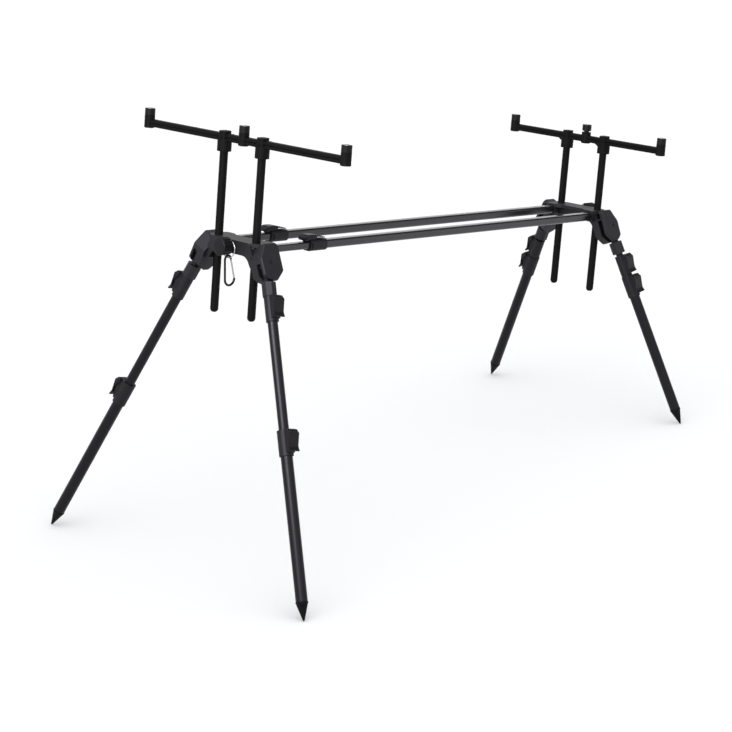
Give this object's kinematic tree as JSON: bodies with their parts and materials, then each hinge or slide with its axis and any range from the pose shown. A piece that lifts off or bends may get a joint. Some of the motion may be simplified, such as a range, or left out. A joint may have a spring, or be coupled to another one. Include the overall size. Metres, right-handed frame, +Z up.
{
  "type": "rod pod",
  "caption": "Telescopic fishing rod pod: moulded hubs joined by sliding rails, folding telescopic legs with flip locks, and buzz bars with tapped alarm bosses on sliding uprights.",
  "frame": {"origin": "Middle of the overall box on the ground that the four spikes stand on", "axes": "+X from the long-legged end to the short-legged end along the rails' plan line, +Y to the left, +Z up"},
  "size_m": [1.2019, 0.6458, 0.7505],
  "materials": {
    "hub_plastic": "dark grey glass-filled moulding, fine grain",
    "lock_plastic": "dark grey moulding, fine grain",
    "lever_plastic": "dark grey moulding, worn smooth",
    "knob_plastic": "dark grey moulding",
    "rail_anodised": "satin black anodised tube",
    "leg_anodised": "satin black anodised tube",
    "matt_black": "matt black",
    "adaptor_black": "matt black with a bright tapped insert",
    "bright_steel": "bright steel wire",
    "carabiner_black": "semi-gloss black",
    "grey_alloy": "plain alloy"
  },
  "bodies": {
    "near_frame": {"near_hub": "hub_plastic", "near_outer_cheeks": "hub_plastic", "inner_rails": "rail_anodised"},
    "far_frame": {"far_hub": "hub_plastic", "far_outer_cheeks": "hub_plastic", "outer_rails": "rail_anodised", "rail_collars": "lock_plastic"},
    "rail_lever_left": {"rail_lever_left": "lever_plastic"},
    "rail_lever_right": {"rail_lever_right": "lever_plastic"},
    "near_rest": {"near_uprights": "matt_black", "near_clamps": "matt_black", "near_buzz_bar": "matt_black"},
    "near_adaptor_left": {"near_adaptor_left": "adaptor_black"},
    "near_adaptor_centre": {"near_adaptor_centre": "adaptor_black"},
    "near_adaptor_right": {"near_adaptor_right": "adaptor_black"},
    "near_knob": {"near_knob": "knob_plastic"},
    "near_clamp_bar": {"near_clamp_bar": "grey_alloy"},
    "far_rest": {"far_uprights": "matt_black", "far_clamps": "matt_black", "far_buzz_bar": "matt_black"},
    "far_adaptor_left": {"far_adaptor_left": "adaptor_black"},
    "far_adaptor_centre": {"far_adaptor_centre": "adaptor_black"},
    "far_adaptor_right": {"far_adaptor_right": "adaptor_black"},
    "far_knob": {"far_knob": "knob_plastic"},
    "far_clamp_bar": {"far_clamp_bar": "grey_alloy"},
    "ring": {"hanging_ring": "bright_steel"},
    "carabiner": {"carabiner": "carabiner_black"},
    "gate": {"carabiner_gate": "bright_steel"},
    "near_left_leg": {"near_left_knuckle": "hub_plastic", "near_left_inner_tube": "leg_anodised"},
    "near_left_mid": {"near_left_mid_tube": "leg_anodised", "near_left_mid_collar": "lock_plastic"},
    "near_left_mid_lever": {"near_left_mid_lever": "lever_plastic"},
    "near_left_lower": {"near_left_lower_tube": "leg_anodised", "near_left_lower_collar": "lock_plastic"},
    "near_left_lower_lever": {"near_left_lower_lever": "lever_plastic"},
    "near_right_leg": {"near_right_knuckle": "hub_plastic", "near_right_inner_tube": "leg_anodised"},
    "near_right_mid": {"near_right_mid_tube": "leg_anodised", "near_right_mid_collar": "lock_plastic"},
    "near_right_mid_lever": {"near_right_mid_lever": "lever_plastic"},
    "near_right_lower": {"near_right_lower_tube": "leg_anodised", "near_right_lower_collar": "lock_plastic"},
    "near_right_lower_lever": {"near_right_lower_lever": "lever_plastic"},
    "far_left_leg": {"far_left_knuckle": "hub_plastic", "far_left_inner_tube": "leg_anodised"},
    "far_left_mid": {"far_left_mid_tube": "leg_anodised", "far_left_mid_collar": "lock_plastic"},
    "far_left_mid_lever": {"far_left_mid_lever": "lever_plastic"},
    "far_left_lower": {"far_left_lower_tube": "leg_anodised", "far_left_lower_collar": "lock_plastic"},
    "far_left_lower_lever": {"far_left_lower_lever": "lever_plastic"},
    "far_right_leg": {"far_right_knuckle": "hub_plastic", "far_right_inner_tube": "leg_anodised"},
    "far_right_mid": {"far_right_mid_tube": "leg_anodised", "far_right_mid_collar": "lock_plastic"},
    "far_right_mid_lever": {"far_right_mid_lever": "lever_plastic"},
    "far_right_lower": {"far_right_lower_tube": "leg_anodised", "far_right_lower_collar": "lock_plastic"},
    "far_right_lower_lever": {"far_right_lower_lever": "lever_plastic"}
  },
  "joints": [
    {"name": "rails_slide", "type": "slide", "parent": "near_frame", "child": "far_frame", "axis": [-0.9903, 0, 0.1391], "range_m": [-0.55, 0.068]},
    {"name": "rail_lever_left_flip", "type": "hinge", "parent": "far_frame", "child": "rail_lever_left", "pos_m": [-0.29731, 0.048, 0.54191], "axis": [0, -1, 0], "range_deg": [0, 105]},
    {"name": "rail_lever_right_flip", "type": "hinge", "parent": "far_frame", "child": "rail_lever_right", "pos_m": [-0.29731, -0.048, 0.54191], "axis": [0, -1, 0], "range_deg": [0, 105]},
    {"name": "near_rest_lift", "type": "slide", "parent": "near_frame", "child": "near_rest", "axis": [0.1391, 0, 0.9903], "range_m": [-0.14, 0.095]},
    {"name": "near_adaptor_left_turn", "type": "hinge", "parent": "near_rest", "child": "near_adaptor_left", "pos_m": [-0.38502, 0.238, 0.73706], "axis": [0.1391, 0, 0.9903], "continuous": true},
    {"name": "near_adaptor_centre_turn", "type": "hinge", "parent": "near_rest", "child": "near_adaptor_centre", "pos_m": [-0.38502, 0, 0.73706], "axis": [0.1391, 0, 0.9903], "continuous": true},
    {"name": "near_adaptor_right_turn", "type": "hinge", "parent": "near_rest", "child": "near_adaptor_right", "pos_m": [-0.38502, -0.238, 0.73706], "axis": [0.1391, 0, 0.9903], "continuous": true},
    {"name": "near_knob_turn", "type": "hinge", "parent": "near_frame", "child": "near_knob", "pos_m": [-0.45613, 0, 0.55215], "axis": [0.9903, 0, -0.1391], "range_deg": [-360, 0]},
    {"name": "near_clamp_bar_grip", "type": "slide", "parent": "near_frame", "child": "near_clamp_bar", "axis": [0.9903, 0, -0.1391], "range_m": [-0.00125, 0]},
    {"name": "far_rest_lift", "type": "slide", "parent": "far_frame", "child": "far_rest", "axis": [0.1391, 0, 0.9903], "range_m": [-0.108, 0.125]},
    {"name": "far_adaptor_left_turn", "type": "hinge", "parent": "far_rest", "child": "far_adaptor_left", "pos_m": [0.57718, 0.184, 0.57059], "axis": [0.1391, 0, 0.9903], "continuous": true},
    {"name": "far_adaptor_centre_turn", "type": "hinge", "parent": "far_rest", "child": "far_adaptor_centre", "pos_m": [0.57718, 0, 0.57059], "axis": [0.1391, 0, 0.9903], "continuous": true},
    {"name": "far_adaptor_right_turn", "type": "hinge", "parent": "far_rest", "child": "far_adaptor_right", "pos_m": [0.57718, -0.184, 0.57059], "axis": [0.1391, 0, 0.9903], "continuous": true},
    {"name": "far_knob_turn", "type": "hinge", "parent": "far_frame", "child": "far_knob", "pos_m": [0.59891, 0, 0.40395], "axis": [-0.9903, 0, 0.1391], "range_deg": [-360, 0]},
    {"name": "far_clamp_bar_grip", "type": "slide", "parent": "far_frame", "child": "far_clamp_bar", "axis": [-0.9903, 0, 0.1391], "range_m": [-0.00125, 0]},
    {"name": "ring_swing", "type": "hinge", "parent": "near_frame", "child": "ring", "pos_m": [-0.43177, 0, 0.54873], "axis": [0.9903, 0, -0.1391], "range_deg": [-30, 30]},
    {"name": "carabiner_swing", "type": "hinge", "parent": "ring", "child": "carabiner", "pos_m": [-0.43467, 0, 0.52813], "axis": [0, 1, 0], "range_deg": [-30, 12]},
    {"name": "gate_swing", "type": "hinge", "parent": "carabiner", "child": "gate", "pos_m": [-0.42791, 0, 0.52337], "axis": [0, 1, 0], "range_deg": [0, 20], "stiffness_Nm_per_rad": 0.03},
    {"name": "near_left_fold", "type": "hinge", "parent": "near_frame", "child": "near_left_leg", "pos_m": [-0.41812, 0.0772, 0.52733], "axis": [-0.0568, -0.9128, -0.4044], "range_deg": [0, 100]},
    {"name": "near_left_mid_slide", "type": "slide", "parent": "near_left_leg", "child": "near_left_mid", "axis": [0.2987, -0.402, 0.8656], "range_m": [-0.225, 0]},
    {"name": "near_left_lower_slide", "type": "slide", "parent": "near_left_mid", "child": "near_left_lower", "axis": [0.2987, -0.402, 0.8656], "range_m": [-0.018, 0.1867]},
    {"name": "near_left_mid_lever_flip", "type": "hinge", "parent": "near_left_mid", "child": "near_left_mid_lever", "pos_m": [-0.43594, 0.11642, 0.47937], "axis": [0.9527, 0.0716, -0.2955], "range_deg": [0, 105]},
    {"name": "near_left_lower_lever_flip", "type": "hinge", "parent": "near_left_lower", "child": "near_left_lower_lever", "pos_m": [-0.50486, 0.21056, 0.27999], "axis": [0.9527, 0.0716, -0.2955], "range_deg": [0, 105]},
    {"name": "near_right_fold", "type": "hinge", "parent": "near_frame", "child": "near_right_leg", "pos_m": [-0.41812, -0.0772, 0.52733], "axis": [0.0568, -0.9128, 0.4044], "range_deg": [0, 100]},
    {"name": "near_right_mid_slide", "type": "slide", "parent": "near_right_leg", "child": "near_right_mid", "axis": [0.2987, 0.402, 0.8656], "range_m": [-0.225, 0]},
    {"name": "near_right_lower_slide", "type": "slide", "parent": "near_right_mid", "child": "near_right_lower", "axis": [0.2987, 0.402, 0.8656], "range_m": [-0.018, 0.1867]},
    {"name": "near_right_mid_lever_flip", "type": "hinge", "parent": "near_right_mid", "child": "near_right_mid_lever", "pos_m": [-0.43594, -0.11642, 0.47937], "axis": [-0.9527, 0.0716, 0.2955], "range_deg": [0, 105]},
    {"name": "near_right_lower_lever_flip", "type": "hinge", "parent": "near_right_lower", "child": "near_right_lower_lever", "pos_m": [-0.50486, -0.21056, 0.27999], "axis": [-0.9527, 0.0716, 0.2955], "range_deg": [0, 105]},
    {"name": "far_left_fold", "type": "hinge", "parent": "far_frame", "child": "far_left_leg", "pos_m": [0.55552, 0.0772, 0.39055], "axis": [0.0568, 0.9128, 0.4044], "range_deg": [0, 100]},
    {"name": "far_left_mid_slide", "type": "slide", "parent": "far_left_leg", "child": "far_left_mid", "axis": [-0.0486, -0.402, 0.9143], "range_m": [-0.22, 0.0047]},
    {"name": "far_left_lower_slide", "type": "slide", "parent": "far_left_mid", "child": "far_left_lower", "axis": [-0.0486, -0.402, 0.9143], "range_m": [-0.205, 0]},
    {"name": "far_left_mid_lever_flip", "type": "hinge", "parent": "far_left_mid", "child": "far_left_mid_lever", "pos_m": [0.55969, 0.11843, 0.33497], "axis": [0.9972, -0.0716, 0.0216], "range_deg": [0, 105]},
    {"name": "far_left_lower_lever_flip", "type": "hinge", "parent": "far_left_lower", "child": "far_left_lower_lever", "pos_m": [0.56191, 0.1374, 0.29531], "axis": [0.9972, -0.0716, 0.0216], "range_deg": [0, 105]},
    {"name": "far_right_fold", "type": "hinge", "parent": "far_frame", "child": "far_right_leg", "pos_m": [0.55552, -0.0772, 0.39055], "axis": [-0.0568, 0.9128, -0.4044], "range_deg": [0, 100]},
    {"name": "far_right_mid_slide", "type": "slide", "parent": "far_right_leg", "child": "far_right_mid", "axis": [-0.0486, 0.402, 0.9143], "range_m": [-0.22, 0.0047]},
    {"name": "far_right_lower_slide", "type": "slide", "parent": "far_right_mid", "child": "far_right_lower", "axis": [-0.0486, 0.402, 0.9143], "range_m": [-0.205, 0]},
    {"name": "far_right_mid_lever_flip", "type": "hinge", "parent": "far_right_mid", "child": "far_right_mid_lever", "pos_m": [0.55969, -0.11843, 0.33497], "axis": [-0.9972, -0.0716, -0.0216], "range_deg": [0, 105]},
    {"name": "far_right_lower_lever_flip", "type": "hinge", "parent": "far_right_lower", "child": "far_right_lower_lever", "pos_m": [0.56191, -0.1374, 0.29531], "axis": [-0.9972, -0.0716, -0.0216], "range_deg": [0, 105]}
  ],
  "couplings": [
    {"joint": "near_knob_turn", "follows": "near_clamp_bar_grip", "rad_per_m": 5026.5},
    {"joint": "far_knob_turn", "follows": "far_clamp_bar_grip", "rad_per_m": 5026.5}
  ]
}
